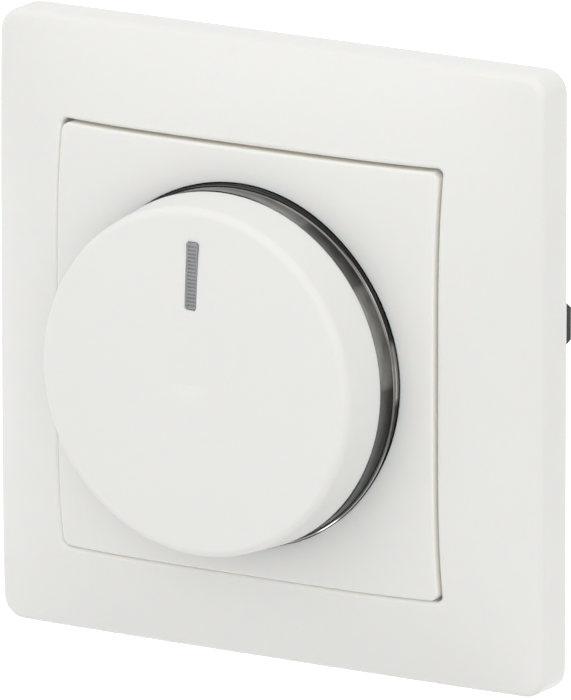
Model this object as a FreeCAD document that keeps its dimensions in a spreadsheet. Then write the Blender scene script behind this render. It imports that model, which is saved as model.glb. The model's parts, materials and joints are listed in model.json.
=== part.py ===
import FreeCAD, Part
import math
import os
import re
import Sketcher
from FreeCAD import Placement, Rotation, Vector

# Rotary dimmer switch for a flush wall box, in millimetres.
# Frame of the part: the origin is the middle of the wall plane, X runs to the right,
# Y runs into the wall and Z runs up. Heights are measured from the wall towards the
# room, so a height of 10 is Y = -10 and a negative height lies inside the wall box.

# The sheet's sizes; a text that starts with an equals sign follows sizes above it.
SIZES = {
    # Cover frame: outer square, how far it sits above the insert's middle within its play, straight rim
    # at the wall and the rise of its pillow-shaped face
    "frame_side": 80.0,
    "frame_lift": 0.1,
    "frame_corner": 3.0,
    "rim_height": 5.5,
    "crown_rise": 7.8,
    "rim_round": 1.2,
    "frame_wall": 1.8,
    "frame_rib": 1.2,
    "rib_offset": 16.0,
    "hollow_shoulder": 3.4,
    "hollow_ceiling": 7.6,
    # Opening of the cover frame, its collar and the ledge that the centre plate presses on
    "opening_side": 55.7,
    "opening_corner": 0.9,
    "opening_round": 0.5,
    "collar_wall": 1.5,
    "ledge_low": 2.6,
    "ledge_high": 4.0,
    "ledge_width": 1.5,
    "notch_width": 10.0,
    "notch_height": 4.6,
    # Centre plate
    "plate_gap": 0.3,
    "plate_proud": 0.3,
    "plate_corner": 1.1,
    "plate_round": 0.4,
    "skirt_wall": 1.6,
    "plate_ceiling": 8.3,
    "well_wall": 1.5,
    "floor_height": 7.4,
    "floor_thick": 1.8,
    "plate_rib": 1.2,
    "peg_radius": 1.4,
    "peg_length": 1.3,
    "peg_offset": 8.4,
    # Support plate of sheet steel, with slots on the 60 mm pitch of wall boxes
    "support_side": 71.0,
    "support_thick": 1.0,
    "support_corner": 5.0,
    "support_opening": 30.0,
    "box_pitch": 60.0,
    "slot_radius": 1.8,
    "slot_length": 8.0,
    "corner_hole_radius": 2.3,
    "corner_hole_pitch": 58.0,
    "bead_radius": 1.0,
    "bead_length": 9.0,
    "bead_height": 0.5,
    "bead_offset": 24.0,
    "bead_place": 10.5,
    # Rear housing with the circuit board halfway down, and front cover
    "housing_side": 43.0,
    "housing_chamfer": 4.5,
    "housing_depth": 27.0,
    "housing_wall": 1.6,
    "board_depth": "=(housing_depth + 1.0) / 2",
    "recess_half": 5.6,
    "recess_depth": 2.5,
    "deck_side": 42.0,
    "deck_base": 1.6,
    "deck_height": 4.0,
    "deck_raised": 32.0,
    "deck_wall": 1.6,
    "deck_cavity": 29.0,
    "deck_cavity_chamfer": 4.0,
    "boss_radius": 11.0,
    "screw_offset": 16.5,
    "screw_boss": 2.4,
    "screw_boss_depth": 12.0,
    # Fasteners
    "housing_screw_radius": 1.1,
    "housing_screw_length": 9.0,
    "screw_head_radius": 2.1,
    "screw_head_height": 1.3,
    "screw_slot": 0.6,
    "screw_clearance": 0.15,
    "thread_gap": 0.05,
    # Claws: pivot, screw, strip and reach behind the wall
    "claw_pivot_x": 21.0,
    "claw_pivot_depth": 3.2,
    "claw_pin_radius": 0.8,
    "claw_knuckle": 1.6,
    "claw_width": 6.2,
    "claw_sheet": 1.2,
    "claw_screw_x": 24.6,
    "claw_screw_radius": 1.5,
    "claw_screw_length": 9.0,
    "claw_head_radius": 2.8,
    "claw_head_height": 1.9,
    "claw_foot_reach": 6.8,
    "claw_bend_depth": "=housing_depth - 5.0",
    "claw_tip_depth": "=housing_depth + 0.6",
    "claw_tip_out": 3.7,
    "claw_tip_chamfer": 1.0,
    "ear_sheet": 1.4,
    "ear_gap": 0.4,
    # Rotary control in the middle of the insert
    "control_side": 16.0,
    "control_depth": 8.5,
    "control_wall": 1.2,
    "control_cavity": 6.2,
    "bush_radius": 5.0,
    "bush_height": 11.0,
    "bush_flange": 6.7,
    "bush_flange_thick": 1.0,
    "bush_gap": 0.15,
    "nut_flats": 14.0,
    "nut_height": 2.8,
    "washer_radius": 8.0,
    "washer_thick": 0.5,
    "shaft_radius": 3.0,
    "shaft_flat": 1.5,
    "shaft_gap": 0.05,
    "shaft_top": 21.0,
    "shaft_step_depth": 3.5,
    "stub_radius": 1.8,
    "stub_depth": 7.2,
    "clip_groove": 0.6,
    "clip_thick": 0.6,
    "clip_radius": 4.5,
    "clip_play": 0.1,
    "rotor_radius": 4.7,
    "rotor_front_depth": 0.9,
    "rotor_thick": 1.8,
    "rotor_hub": 4.1,
    "rotor_hub_thick": 0.7,
    "lug_radius": 5.95,
    "lug_half_angle": 15.0,
    "stop_half_angle": 29.5,
    "stop_inner": 4.95,
    "push_travel": 1.2,
    "spring_wire": 0.5,
    "spring_mean": 2.45,
    "spring_turns": 4.0,
    # Push switch behind the control
    "switch_width": 12.8,
    "switch_height": 6.5,
    "plunger_radius": 1.2,
    "plunger_gap": 0.1,
    "plunger_length": "=board_depth - stub_depth - 2.6",
    # Knob, chrome ring and indicator lens
    "skirt_height": 16.85,
    "skirt_radius": 23.0,
    "knob_taper": 0.65,
    "ridge_radius": "=skirt_radius - knob_taper",
    "ridge_height": 23.8,
    "dome_rise": 1.2,
    "knob_round": 1.2,
    "knob_wall": 1.3,
    "knob_seat": 1.8,
    "knob_top_wall": 1.8,
    "hub_radius": 4.8,
    "hub_low": 12.7,
    "knob_rib": 1.0,
    "knob_rib_low": "=skirt_height + knob_seat + 0.25",
    "ring_flange_radius": "=skirt_radius + 0.3",
    "ring_flange_height": 13.35,
    "ring_rear": 12.2,
    "ring_foot": "=skirt_radius + 0.1",
    "ring_bevel": 0.5,
    "ring_cove": 7.0,
    "ring_gap": 0.12,
    "ring_inner": "=skirt_radius - 0.95",
    "ring_neck_wall": 0.9,
    "neck_gap": 0.05,
    "lens_width": 1.65,
    "lens_length": 8.6,
    "lens_radius": "=(ridge_radius + 5.45) / 2",
    "lens_tilt": 0.6,
    "lens_gap": 0.06,
    "lens_corner": 0.35,
    "lens_recess": 0.1,
    "lens_flange": 0.7,
    "lens_flange_thick": 0.8,
    "lens_leg": 2.4,
    "lens_leg_low": 10.0,
    "lens_ribs": 17,
    "lens_rib_depth": 0.12,
    "leaf_sheet": 0.4,
    "leaf_width": 3.4,
    "leaf_length": 7.0,
    # Electronics
    "board_side": 38.0,
    "board_chamfer": 9.0,
    "board_thick": 1.6,
    "board_gap": 0.6,
    "post_side": 2.0,
    "post_place": 9.4,
    "part_depth": "=housing_depth - housing_wall - board_depth - board_thick - 0.8",
    "choke_x": 10.6,
    "choke_z": 3.2,
    "choke_radius": 6.4,
    "choke_core_radius": 2.8,
    "choke_flange": 1.2,
    "choke_turns": 7,
    "film_x": 12.2,
    "film_z": 2.6,
    "film_width": 7.0,
    "film_height": 13.0,
    "film_round": 0.6,
    "can_x": 0.2,
    "can_z": 5.0,
    "can_radius": 4.0,
    "fuse_radius": 2.5,
    "fuse_length": 20.0,
    "fuse_z": 7.6,
    "fuse_height": 4.0,
    "fuse_clip_width": 4.0,
    "fuse_sheet": 0.4,
    "sink_width": 24.0,
    "sink_thick": 1.5,
    "sink_lip": 3.0,
    "transistor_x": 6.3,
    "transistor_width": 8.0,
    "transistor_length": "=part_depth - 2.4",
    "transistor_thick": 2.9,
    "transistor_leads": 0.7,
    "led_radius": 1.5,
    "led_z": 10.5,
    "led_top": 8.2,
    "led_lead": 0.25,
    "terminal_pitch": 9.0,
    "terminal_width": 6.4,
    "terminal_height": 6.6,
    "terminal_depth": "=part_depth - 0.6",
    "wire_radius": 1.7,
    "wire_place": 15.4,
    "wire_entry": 2.1,
    "clamp_screw_radius": 1.5,
    "clamp_screw_head": 2.5,
    "clamp_screw_depth": "=housing_depth - housing_wall - terminal_depth / 2",
}

# Sizes that follow from the sheet
OPENING = "(opening_side / 2)"
COLLAR = "(opening_side / 2 + collar_wall)"
PLATE = "(opening_side / 2 - plate_gap)"
WELL = "(ring_flange_radius + ring_gap)"
WELL_TUBE = "(ring_flange_radius + ring_gap + well_wall)"
FLOOR_REAR = "(floor_height - floor_thick)"
CROWN_TOP = "(rim_height + crown_rise + plate_proud + 1)"
HOUSING = "(housing_side / 2)"
HOUSING_IN = "(housing_side / 2 - housing_wall)"
REAR_IN = "(housing_depth - housing_wall)"
DECK_FACE = "(support_thick + deck_base)"
DECK_IN = "(deck_height - deck_wall)"
BUSH_SEAT = "(deck_height - deck_wall - bush_flange_thick)"
CONTROL_FLOOR = "(control_depth - control_wall)"
BOARD_REAR = "(board_depth + board_thick)"
PART_END = "(board_depth + board_thick + part_depth)"
NUT_SEAT = "(floor_height + washer_thick)"
KNOB_CEILING = "(ridge_height - knob_top_wall + 0.6)"
DOME = "((ridge_radius * ridge_radius + dome_rise * dome_rise) / (2 * dome_rise))"
SIDE_LEAN = "atan((skirt_radius - ridge_radius) / (ridge_height - skirt_height))"
EDGE_SLOPE = f"asin(ridge_radius / {DOME})"
ROUND_REACH = f"(knob_round / tan((90 deg + {SIDE_LEAN} + {EDGE_SLOPE}) / 2))"
LENS_IN = "(lens_radius - lens_length / 2)"
LENS_OUT = "(lens_radius + lens_length / 2)"
FACE = "(ridge_height + dome_rise)"

doc = FreeCAD.newDocument("rotary_dimmer")
sheet = doc.addObject("Spreadsheet::Sheet", "Sizes")
for row, (alias, size) in enumerate(SIZES.items(), start=1):
    sheet.set("A%d" % row, alias)
    sheet.set("B%d" % row, str(size))
    sheet.setAlias("B%d" % row, alias)
doc.recompute()

nodes = []


def linked(text):
    """An expression with every size name pointing at its cell."""
    return re.sub(r"[a-z]\w*", lambda word: "Sizes." + word[0] if word[0] in SIZES else word[0], str(text))


def number(text):
    """The present value of an expression."""
    return float(sheet.evalExpression(linked(text)))


def bind(item, prop, text):
    """Tie a property to an expression of the sheet."""
    item.setExpression(prop, linked(text))


def keep(item, label):
    """Name a finished piece, which becomes one node."""
    item.Label = label
    nodes.append(item)
    return item


# Sketch outlines


def lock(drawing, index, end, x, y):
    """Hold one point of a drawing at two expressions."""
    for kind, text in (("DistanceX", x), ("DistanceY", y)):
        rule = drawing.addConstraint(Sketcher.Constraint(kind, -1, 1, index, end, number(text)))
        drawing.setExpression("Constraints[%d]" % rule, linked(text))


def circle(x, y, radius):
    """A circle given by its centre and radius."""
    def add(drawing):
        ring = Part.Circle(Vector(number(x), number(y), 0), Vector(0, 0, 1), number(radius))
        index = drawing.addGeometry(ring, False)
        rule = drawing.addConstraint(Sketcher.Constraint("Radius", index, number(radius)))
        drawing.setExpression("Constraints[%d]" % rule, linked(radius))
        lock(drawing, index, 3, x, y)
    return add


def arc_centre(start, end, kind, size, side):
    """The centre of a short arc, on the left of the way from start to end when side is 1."""
    chord = end - start
    left = Vector(-chord.y, chord.x, 0)
    middle = (start + end) * 0.5
    if kind == "CentreX":
        reach = (size - middle.x) / left.x
    elif kind == "CentreY":
        reach = (size - middle.y) / left.y
    else:
        reach = side * math.sqrt(max((size / chord.Length) ** 2 - 0.25, 0))
    return middle + left * reach


def add_arc(drawing, start, end, kind, text, side):
    """A short arc from start to end, held by its radius or by one coordinate of its centre."""
    centre = arc_centre(start, end, kind, number(text), side)
    first, last = (start, end) if side > 0 else (end, start)
    angles = [math.atan2(point.y - centre.y, point.x - centre.x) for point in (first, last)]
    if angles[1] < angles[0]:
        angles[1] += 2 * math.pi
    ring = Part.Circle(centre, Vector(0, 0, 1), (start - centre).Length)
    index = drawing.addGeometry(Part.ArcOfCircle(ring, *angles), False)
    if kind == "Radius":
        rule = Sketcher.Constraint("Radius", index, number(text))
    else:
        rule = Sketcher.Constraint(kind.replace("Centre", "Distance"), -1, 1, index, 3, number(text))
    drawing.setExpression("Constraints[%d]" % drawing.addConstraint(rule), linked(text))
    return (index, 1, 2) if side > 0 else (index, 2, 1)


def polygon(points):
    """A closed outline through points.

    A point is (x, y), or (x, y, kind, value, side) where an arc leads to the next point: kind says whether
    the value is its Radius, or the CentreX or CentreY of its middle.
    """
    def add(drawing):
        corners = [Vector(number(point[0]), number(point[1]), 0) for point in points]
        pieces = []
        for start, end, point in zip(corners, corners[1:] + corners[:1], points):
            if len(point) > 2:
                pieces.append(add_arc(drawing, start, end, *point[2:]))
            else:
                pieces.append((drawing.addGeometry(Part.LineSegment(start, end), False), 1, 2))
        for piece, following in zip(pieces, pieces[1:] + pieces[:1]):
            joint = Sketcher.Constraint("Coincident", piece[0], piece[2], following[0], following[1])
            drawing.addConstraint(joint)
        for piece, point in zip(pieces, points):
            lock(drawing, piece[0], piece[1], point[0], point[1])
    return add


def rectangle(low_x, high_x, low_y, high_y):
    """A rectangle between two pairs of expressions."""
    return polygon([(low_x, low_y), (high_x, low_y), (high_x, high_y), (low_x, high_y)])


def square(half):
    """A square about the origin."""
    return rectangle(f"-{half}", half, f"-{half}", half)


def slot(x, y, reach, radius, along):
    """A slot about (x, y) whose two end circles lie reach from its middle."""
    if along == "x":
        return polygon([
            (f"{x} - {reach}", f"{y} - {radius}"),
            (f"{x} + {reach}", f"{y} - {radius}", "CentreX", f"{x} + {reach}", 1),
            (f"{x} + {reach}", f"{y} + {radius}"),
            (f"{x} - {reach}", f"{y} + {radius}", "CentreX", f"{x} - {reach}", 1),
        ])
    return polygon([
        (f"{x} + {radius}", f"{y} - {reach}"),
        (f"{x} + {radius}", f"{y} + {reach}", "CentreY", f"{y} + {reach}", 1),
        (f"{x} - {radius}", f"{y} + {reach}"),
        (f"{x} - {radius}", f"{y} - {reach}", "CentreY", f"{y} - {reach}", 1),
    ])


def octagon(half, chamfer):
    """A square about the origin with its corners cut at 45 degrees."""
    short = f"({half} - {chamfer})"
    return polygon([
        (half, f"-{short}"), (half, short), (short, half), (f"-{short}", half),
        (f"-{half}", short), (f"-{half}", f"-{short}"), (f"-{short}", f"-{half}"), (short, f"-{half}"),
    ])


def waisted(half, chamfer, notch, depth):
    """The housing's outline: cut corners, and a recess for a claw in the left and right side."""
    short = f"({half} - {chamfer})"
    waist = f"({half} - {depth})"
    upper = [(waist, notch), (half, notch), (half, short), (short, half)]
    left = [(f"-{x}", z) for x, z in reversed(upper)]
    lower = [(f"-{x}", f"-{z}") for x, z in upper]
    right = [(x, f"-{z}") for x, z in reversed(upper)]
    return polygon(upper + left + lower + right)


# Features of a body


PLANES = {"front": "XZ_Plane", "side": "YZ_Plane", "top": "XY_Plane"}
CUTS = ("PartDesign::Pocket", "PartDesign::Groove", "PartDesign::Hole")


def new_body(name):
    return doc.addObject("PartDesign::Body", name)


def draw(body, plane, offset, shapes):
    """A sketch on one of the body's own origin planes; on the front plane the offset is a height."""
    drawing = body.newObject("Sketcher::SketchObject", body.Name + "_sketch")
    support = next(item for item in body.Origin.OriginFeatures if item.Role == PLANES[plane])
    drawing.AttachmentSupport = [(support, "")]
    drawing.MapMode = "FlatFace"
    bind(drawing, "AttachmentOffset.Base.z", offset)
    for add in shapes:
        add(drawing)
    return drawing


def pad(body, low, high, *shapes, plane="front"):
    """Material between two heights."""
    feature = body.newObject("PartDesign::Pad", body.Name + "_pad")
    feature.Profile = draw(body, plane, low, shapes)
    bind(feature, "Length", f"({high}) - ({low})")
    doc.recompute()
    return feature


def pocket(body, low, high, *shapes, plane="front"):
    """A cut between two heights."""
    feature = body.newObject("PartDesign::Pocket", body.Name + "_pocket")
    feature.Profile = draw(body, plane, high, shapes)
    bind(feature, "Length", f"({high}) - ({low})")
    doc.recompute()
    return feature


def dress(body, kind, size, chosen):
    """A fillet or chamfer on the edges of the body that chosen picks."""
    base = body.Tip
    names = ["Edge%d" % index for index, edge in enumerate(base.Shape.Edges, start=1) if chosen(edge)]
    feature = body.newObject("PartDesign::" + kind, body.Name + "_" + kind.lower())
    feature.Base = (base, names)
    bind(feature, "Radius" if kind == "Fillet" else "Size", size)
    doc.recompute()
    return feature


def turned(name, profile, x="0", z="0"):
    """A body turned about an axis square to the wall; the profile's points are (radius, height)."""
    body = new_body(name)
    flipped = []
    for point in profile:
        rest = point[2:4] + (-point[4],) if len(point) > 2 else ()
        flipped.append((point[0], f"-({point[1]})") + rest)
    feature = body.newObject("PartDesign::Revolution", name + "_turn")
    drawing = draw(body, "top", "0", [polygon(flipped)])
    feature.Profile = drawing
    feature.ReferenceAxis = (drawing, ["V_Axis"])
    feature.Angle = 360
    bind(body, "Placement.Base.x", x)
    bind(body, "Placement.Base.z", z)
    doc.recompute()
    return body


def along_y(edge):
    """True for a straight edge square to the wall."""
    box = edge.BoundBox
    return box.XLength < 1e-4 and box.ZLength < 1e-4


# Primitives and booleans


def slab(name, x, height, z):
    """A box between pairs of expressions; height is measured towards the room."""
    item = doc.addObject("Part::Box", name)
    spans = (("Length", x), ("Width", height), ("Height", z))
    for prop, (low, high) in spans:
        bind(item, prop, f"({high}) - ({low})")
    bind(item, "Placement.Base.x", x[0])
    bind(item, "Placement.Base.y", f"-({height[1]})")
    bind(item, "Placement.Base.z", z[0])
    return item


def rod(name, radius, height, x="0", z="0"):
    """A cylinder square to the wall, between two heights."""
    item = doc.addObject("Part::Cylinder", name)
    item.Placement = Placement(Vector(), Rotation(Vector(1, 0, 0), 90))
    bind(item, "Radius", radius)
    bind(item, "Height", f"({height[1]}) - ({height[0]})")
    bind(item, "Placement.Base.x", x)
    bind(item, "Placement.Base.y", f"-({height[0]})")
    bind(item, "Placement.Base.z", z)
    return item


def post(name, radius, z, x, depth):
    """An upright cylinder between two levels, at a depth behind the wall plane."""
    item = doc.addObject("Part::Cylinder", name)
    bind(item, "Radius", radius)
    bind(item, "Height", f"({z[1]}) - ({z[0]})")
    bind(item, "Placement.Base.x", x)
    bind(item, "Placement.Base.y", depth)
    bind(item, "Placement.Base.z", z[0])
    return item


def cut(name, base, *tools):
    item = doc.addObject("Part::Cut", name)
    item.Base = base
    item.Tool = tools[0] if len(tools) == 1 else fuse(name + "_tools", *tools)
    return item


def fuse(name, *parts):
    item = doc.addObject("Part::MultiFuse", name)
    item.Shapes = list(parts)
    return item


def common(name, base, tool):
    item = doc.addObject("Part::Common", name)
    item.Base = base
    item.Tool = tool
    return item


def group(name, parts):
    """Like fasteners kept as one node of separate solids."""
    item = doc.addObject("Part::Compound", name)
    item.Links = list(parts)
    return item


def rounded(name, base, radius, chosen):
    """A copy of base with a fillet on the edges that chosen picks."""
    doc.recompute()
    item = doc.addObject("Part::Fillet", name)
    item.Base = base
    size = number(radius)
    item.Edges = [(index, size, size) for index, edge in enumerate(base.Shape.Edges, start=1) if chosen(edge)]
    doc.recompute()
    return item


def crown(name, proud):
    """The space behind the pillow-shaped face.

    The face is flat along the frame's rim and rises by the fourth power towards the middle, which is
    one Bezier patch of degree 4 whose control heights are 0, 2, 0, 2, 0 in both directions.
    """
    half = number("frame_side / 2")
    rim = number("rim_height") + number(proud)
    rise = number("crown_rise")
    weights = (0, 2, 0, 2, 0)
    face = Part.BezierSurface()
    face.increase(4, 4)
    for column, across in enumerate(weights):
        for line, upward in enumerate(weights):
            x = half * (column / 2 - 1)
            z = half * (line / 2 - 1)
            face.setPole(column + 1, line + 1, Vector(x, -(rim + rise * across * upward), z))
    item = doc.addObject("Part::Feature", name)
    item.Shape = face.toShape().extrude(Vector(0, 2 * (rim + rise), 0))
    return item


def on_face(edge):
    """True for an edge that lies on the pillow-shaped face."""
    return edge.BoundBox.YMax < -number("rim_height") + 0.05


# Cover frame: crowned block, square opening, hollow back with ribs, and a ledge in the opening


def make_cover_frame():
    block = new_body("frame_block")
    pad(block, "0", CROWN_TOP, square("(frame_side / 2)"))
    dress(block, "Fillet", "frame_corner", along_y)
    face = common("frame_face", block, crown("frame_crown", "0"))
    hole = new_body("frame_opening")
    pad(hole, "-1", f"{CROWN_TOP} + 1", square(OPENING))
    dress(hole, "Fillet", "opening_corner", along_y)
    blank = cut("frame_blank", face, hole)
    inside = number("opening_side / 2 + 0.1")

    def at_opening(edge):
        box = edge.BoundBox
        return on_face(edge) and max(abs(box.XMin), abs(box.XMax), abs(box.ZMin), abs(box.ZMax)) < inside

    softened = rounded("frame_softened", blank, "opening_round", at_opening)

    def at_rim(edge):
        box = edge.BoundBox
        reach = max(abs(box.XMin), abs(box.XMax), abs(box.ZMin), abs(box.ZMax))
        return on_face(edge) and reach > number("frame_side / 2") - 0.1

    shell = rounded("frame_rounded", softened, "rim_round", at_rim)
    inner = "(frame_side / 2 - frame_wall)"
    lower = slab("hollow_lower", (f"-{inner}", inner), ("-1", "hollow_shoulder"), (f"-{inner}", inner))
    upper = doc.addObject("Part::Wedge", "hollow_upper")
    for axis in ("X", "Z"):
        bind(upper, axis + "min", f"-{COLLAR}")
        bind(upper, axis + "max", COLLAR)
        bind(upper, axis + "2min", f"-{inner}")
        bind(upper, axis + "2max", inner)
    bind(upper, "Ymin", "-hollow_ceiling")
    bind(upper, "Ymax", "-hollow_shoulder")
    collar = slab("hollow_collar", (f"-{COLLAR}", COLLAR), ("-2", CROWN_TOP), (f"-{COLLAR}", COLLAR))
    ribs = []
    for sign in ("-", ""):
        low = f"{sign}rib_offset - frame_rib / 2"
        high = f"{sign}rib_offset + frame_rib / 2"
        ribs.append(slab("upright_rib", (low, high), ("-2", CROWN_TOP), (f"-{inner}", inner)))
        ribs.append(slab("level_rib", (f"-{inner}", inner), ("-2", CROWN_TOP), (low, high)))
    hollow = cut("frame_hollow", fuse("hollow_full", lower, upper), collar, *ribs)
    shell = cut("frame_shell", shell, hollow)
    outer = "(opening_side / 2 + collar_wall / 2)"
    inner_ledge = "(opening_side / 2 - ledge_width)"
    ledge = new_body("frame_ledge")
    pad(ledge, "ledge_low", "ledge_high", square(outer), square(inner_ledge))
    shell = fuse("frame_with_ledge", shell, ledge)
    seat_half = "(support_side / 2 + 0.6)"
    seat_span = (f"-{seat_half}", seat_half)
    seat = slab("plate_seat", seat_span, ("-1", "support_thick"), seat_span)
    bar = f"({COLLAR} + 0.5)"
    half_notch = "(notch_width / 2)"
    upright = slab("upright_notch", (f"-{half_notch}", half_notch), ("0", "notch_height"), (f"-{bar}", bar))
    level = slab("level_notch", (f"-{bar}", bar), ("0", "notch_height"), (f"-{half_notch}", half_notch))
    frame = cut("cover_frame", shell, seat, upright, level)
    bind(frame, "Placement.Base.z", "frame_lift")
    keep(frame, "cover_frame")


# Centre plate: crowned like the frame and a little proud of it, with the knob's round well


def make_centre_plate():
    block = new_body("plate_block")
    pad(block, "ledge_high", CROWN_TOP, square(PLATE))
    dress(block, "Fillet", "plate_corner", along_y)
    face = common("plate_face", block, crown("plate_crown", "plate_proud"))
    face = rounded("plate_softened", face, "plate_round", on_face)
    well = rod("plate_well", WELL, ("floor_height", f"{CROWN_TOP} + 1"))
    blank = cut("plate_blank", face, well)
    skirt = f"({PLATE} - skirt_wall)"
    cavity = slab("plate_cavity", (f"-{skirt}", skirt), ("0", "plate_ceiling"), (f"-{skirt}", skirt))
    tube = rod("plate_tube", WELL_TUBE, ("-1", CROWN_TOP))
    ribs = []
    for turn in (45, 135):
        rib = slab("plate_rib", ("-frame_side / 2", "frame_side / 2"), ("-1", CROWN_TOP),
                   ("-plate_rib / 2", "plate_rib / 2"))
        spun = doc.addObject("Part::Compound", "plate_rib_turned")
        spun.Links = [rib]
        spun.Placement = Placement(Vector(), Rotation(Vector(0, 1, 0), turn))
        ribs.append(spun)
    corners = cut("plate_corners", cavity, tube, *ribs)
    under = rod("plate_under_floor", WELL, ("0", FLOOR_REAR))
    centre = rod("plate_bush_hole", "bush_radius + bush_gap", ("0", "floor_height + 1"))
    window = rod("plate_led_hole", "led_radius + 0.5", ("0", "floor_height + 1"), z="led_z")
    shell = cut("plate_shell", blank, corners, under, centre, window)
    pegs = [rod("plate_peg", "peg_radius", (f"{FLOOR_REAR} - peg_length", f"{FLOOR_REAR} + 0.5"), x=place)
            for place in ("-peg_offset", "peg_offset")]
    keep(fuse("centre_plate", shell, *pegs), "centre_plate")


# Steel support plate


def make_support_plate():
    body = new_body("support_plate")
    pad(body, "0", "support_thick", square("(support_side / 2)"))
    dress(body, "Fillet", "support_corner", along_y)
    bead_reach = "(bead_length / 2 - bead_radius)"
    bead_top = "support_thick + bead_height"
    for rail_sign in ("", "-"):
        for place_sign in ("", "-"):
            rail = f"{rail_sign}bead_offset"
            place = f"{place_sign}bead_place"
            level = slot(place, rail, bead_reach, "bead_radius", "x")
            upright = slot(rail, place, bead_reach, "bead_radius", "z")
            pad(body, "support_thick", bead_top, level)
            pad(body, "support_thick", bead_top, upright)
    low, high = "-1", "support_thick + 1"
    pocket(body, low, high, square("(support_opening / 2)"))
    reach = "(slot_length / 2 - slot_radius)"
    for sign in ("", "-"):
        pocket(body, low, high, slot("0", f"{sign}box_pitch / 2", reach, "slot_radius", "z"))
        pocket(body, low, high, slot(f"{sign}(box_pitch / 2 + 1.2)", "0", reach, "slot_radius", "z"))
        pocket(body, low, high, circle(f"{sign}claw_screw_x", "0", "claw_screw_radius + screw_clearance"))
        for other in ("", "-"):
            pitch = "corner_hole_pitch / 2"
            pocket(body, low, high, circle(f"{sign}{pitch}", f"{other}{pitch}", "corner_hole_radius"))
            hole = "housing_screw_radius + screw_clearance"
            pocket(body, low, high, circle(f"{sign}screw_offset", f"{other}screw_offset", hole))
    keep(body, "support_plate")


# Front cover of the insert: a stepped deck with the seat of the centre plate


def make_front_cover():
    body = new_body("front_cover")
    pad(body, "support_thick", DECK_FACE, octagon("(deck_side / 2)", "housing_chamfer"))
    pad(body, DECK_FACE, "deck_height", octagon("(deck_raised / 2)", "(housing_chamfer + 0.5)"))
    pad(body, "deck_height", FLOOR_REAR, circle("0", "0", "boss_radius"))
    pocket(body, "support_thick", DECK_IN, octagon("(deck_cavity / 2)", "deck_cavity_chamfer"))
    through = FLOOR_REAR + " + 1"
    pocket(body, "0", through, circle("0", "0", "bush_radius + bush_gap"))
    pocket(body, "0", through, circle("0", "led_z", "led_radius + 0.1"))
    for sign in ("", "-"):
        peg = "peg_radius + screw_clearance"
        pocket(body, f"{FLOOR_REAR} - peg_length - 0.2", through, circle(f"{sign}peg_offset", "0", peg))
        for other in ("", "-"):
            hole = "housing_screw_radius + screw_clearance"
            pocket(body, "0", through, circle(f"{sign}screw_offset", f"{other}screw_offset", hole))
    keep(body, "front_cover")


# Rear housing: waisted tub with screw bosses, board posts, wire entries and claw ears


def make_rear_housing():
    body = new_body("rear_housing")
    pad(body, "-housing_depth", "0", waisted(HOUSING, "housing_chamfer", "recess_half", "recess_depth"))
    dress(body, "Chamfer", "0.8", lambda edge: edge.BoundBox.YMin > number("housing_depth") - 0.01)
    inner_chamfer = "(housing_chamfer - 0.586 * housing_wall)"
    inner = waisted(HOUSING_IN, inner_chamfer, "(recess_half + housing_wall)", "recess_depth")
    pocket(body, f"-{REAR_IN}", "0", inner)
    bosses = [circle(f"{sign}screw_offset", f"{other}screw_offset", "screw_boss")
              for sign in ("", "-") for other in ("", "-")]
    pad(body, "-screw_boss_depth", "0", *bosses)
    for sign in ("", "-"):
        for other in ("", "-"):
            hole = circle(f"{sign}screw_offset", f"{other}screw_offset", "housing_screw_radius + thread_gap")
            pocket(body, "-(housing_screw_length + 1)", "0", hole)
            x_out = f"{sign}({HOUSING_IN} + 0.4)"
            x_in = f"{sign}({HOUSING_IN} - post_side - 0.4)"
            z_low = f"{other}post_place - post_side / 2"
            z_high = f"{other}post_place + post_side / 2"
            low_x, high_x = (x_in, x_out) if sign == "" else (x_out, x_in)
            pad(body, f"-({REAR_IN} + 0.4)", f"-{BOARD_REAR}", rectangle(low_x, high_x, z_low, z_high))
        make_ears(body, sign)
    for place in ("-terminal_pitch", "0", "terminal_pitch"):
        pocket(body, "-housing_depth - 1", f"-{REAR_IN} + 0.2", circle(place, "-wire_place", "wire_entry"))
        pocket(body, f"-{HOUSING} - 1", f"-{HOUSING_IN} + 0.2", plane="top",
               *[circle(place, "clamp_screw_depth", "clamp_screw_head + 0.3")])
    keep(body, "rear_housing")


def make_ears(body, sign):
    """Two ears that carry a claw's pin on one side of the housing."""
    root = f"{sign}({HOUSING} - recess_depth - 0.4)"
    tip = f"{sign}(claw_pivot_x + claw_knuckle)"
    low_x, high_x = (root, tip) if sign == "" else (tip, root)
    near = "(claw_width / 2 + ear_gap)"
    far = "(claw_width / 2 + ear_gap + ear_sheet)"
    depth = ("claw_pivot_depth - claw_knuckle - 0.2", "claw_pivot_depth + claw_knuckle + 0.2")
    for low_z, high_z in ((near, far), (f"-{far}", f"-{near}")):
        pad(body, low_z, high_z, rectangle(low_x, high_x, *depth), plane="top")
    hole = circle(f"{sign}claw_pivot_x", "claw_pivot_depth", "claw_pin_radius + 0.02")
    pocket(body, f"-{far} - 1", f"{far} + 1", hole, plane="top")


# Claws: bent steel strips on pins, spread by the pull of their screws


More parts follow.
